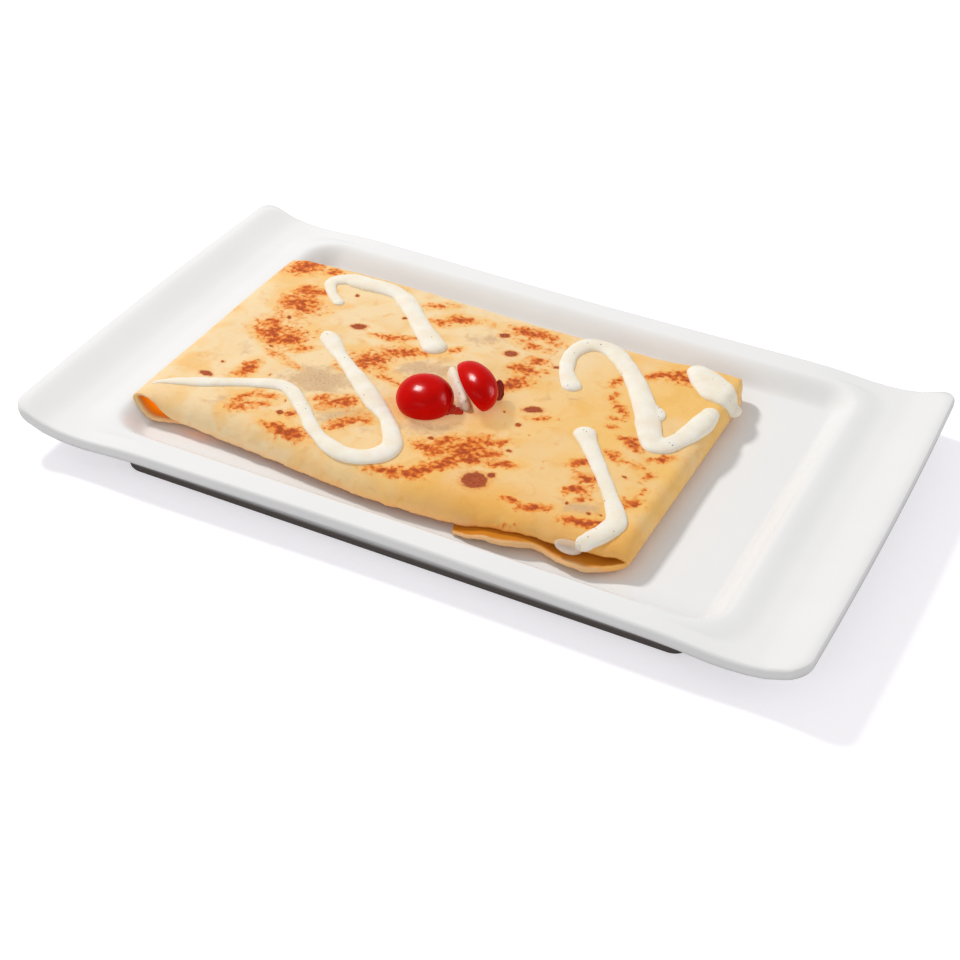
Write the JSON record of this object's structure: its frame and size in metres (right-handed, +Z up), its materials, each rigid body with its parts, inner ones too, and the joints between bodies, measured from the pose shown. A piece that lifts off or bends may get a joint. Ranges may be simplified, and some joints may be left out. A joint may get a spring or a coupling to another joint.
{
  "type": "folded crepe",
  "caption": "Folded crepe with white sauce drizzled over it and a halved cherry tomato on top, on an oblong porcelain platter with upturned ends.",
  "frame": {"origin": "middle of the platter's box, on the surface that its foot ring stands on", "axes": "+X along the platter to its right end, +Y across it to the back, +Z up"},
  "size_m": [0.3094, 0.18, 0.034],
  "materials": {
    "porcelain": "glazed white porcelain",
    "crepe": "soft golden batter with browned specks, under cream sauce",
    "tomato": "smooth red tomato skin"
  },
  "bodies": {
    "root": {"plate": "porcelain", "crepe": "crepe", "tomato_left": "tomato", "tomato_right": "tomato"}
  },
  "joints": []
}
